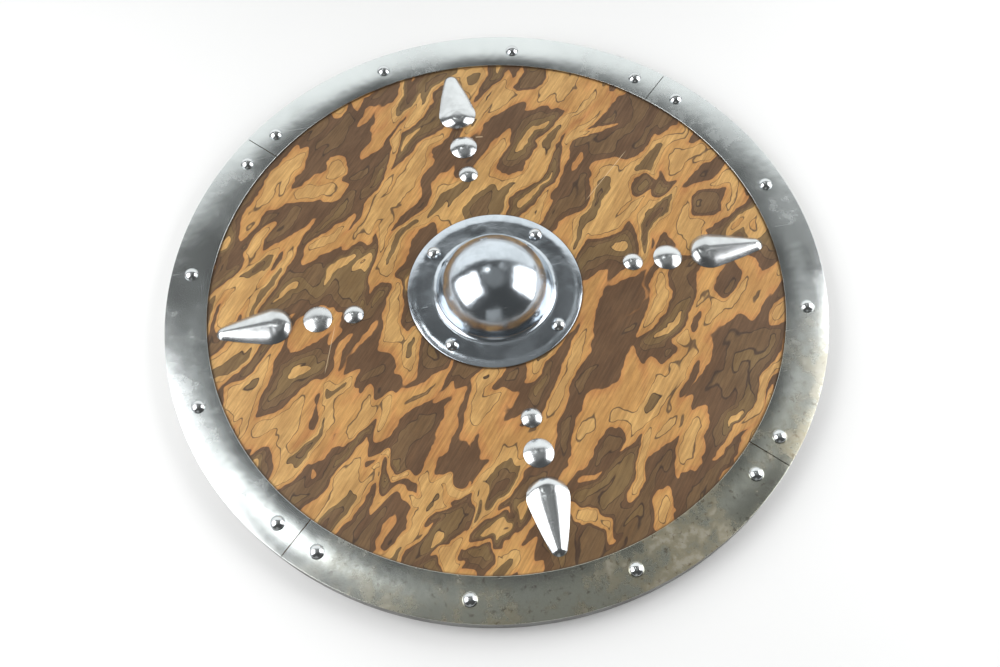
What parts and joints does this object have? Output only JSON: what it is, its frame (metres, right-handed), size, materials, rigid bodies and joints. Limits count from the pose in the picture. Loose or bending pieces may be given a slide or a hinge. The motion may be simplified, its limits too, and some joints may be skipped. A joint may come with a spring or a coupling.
{
  "type": "round shield",
  "caption": "Flat wooden round shield with a riveted steel rim, a domed steel boss over the hand hole, and rows of steel studs and teardrops that make a cross.",
  "frame": {"origin": "middle of the back of the board, on the surface that the shield lies on", "axes": "+Z out of the face, through the boss; the four ornament rows run along +Y, +X, -Y and -X; the grip lies along X"},
  "size_m": [0.61, 0.61, 0.0639],
  "materials": {
    "veneered_board": "satin figured burl veneer",
    "grip_wood": "plain worn timber",
    "rim_steel": "worn, scuffed and lightly tarnished",
    "edge_steel": "dull, worn",
    "boss_steel": "polished, slightly dimpled by hammering",
    "stud_steel": "polished",
    "teardrop_steel": "polished",
    "rivet_steel": "polished heads",
    "screw_steel": "dull"
  },
  "bodies": {
    "root": {"board": "veneered_board", "edge_band": "edge_steel", "boss": "boss_steel", "grip": "grip_wood", "rim_strip_1": "rim_steel", "small_stud_1": "stud_steel", "large_stud_1": "stud_steel", "teardrop_1": "teardrop_steel", "rim_strip_2": "rim_steel", "small_stud_2": "stud_steel", "large_stud_2": "stud_steel", "teardrop_2": "teardrop_steel", "rim_strip_3": "rim_steel", "small_stud_3": "stud_steel", "large_stud_3": "stud_steel", "teardrop_3": "teardrop_steel", "rim_strip_4": "rim_steel", "small_stud_4": "stud_steel", "large_stud_4": "stud_steel", "teardrop_4": "teardrop_steel", "rim_rivet_01": "rivet_steel", "rim_rivet_02": "rivet_steel", "rim_rivet_03": "rivet_steel", "rim_rivet_04": "rivet_steel", "rim_rivet_05": "rivet_steel", "rim_rivet_06": "rivet_steel", "rim_rivet_07": "rivet_steel", "rim_rivet_08": "rivet_steel", "rim_rivet_09": "rivet_steel", "rim_rivet_10": "rivet_steel", "rim_rivet_11": "rivet_steel", "rim_rivet_12": "rivet_steel", "rim_rivet_13": "rivet_steel", "rim_rivet_14": "rivet_steel", "rim_rivet_15": "rivet_steel", "rim_rivet_16": "rivet_steel", "boss_rivet_1": "rivet_steel", "boss_rivet_2": "rivet_steel", "boss_rivet_3": "rivet_steel", "boss_rivet_4": "rivet_steel", "grip_screw_1": "screw_steel", "grip_screw_2": "screw_steel"}
  },
  "joints": []
}
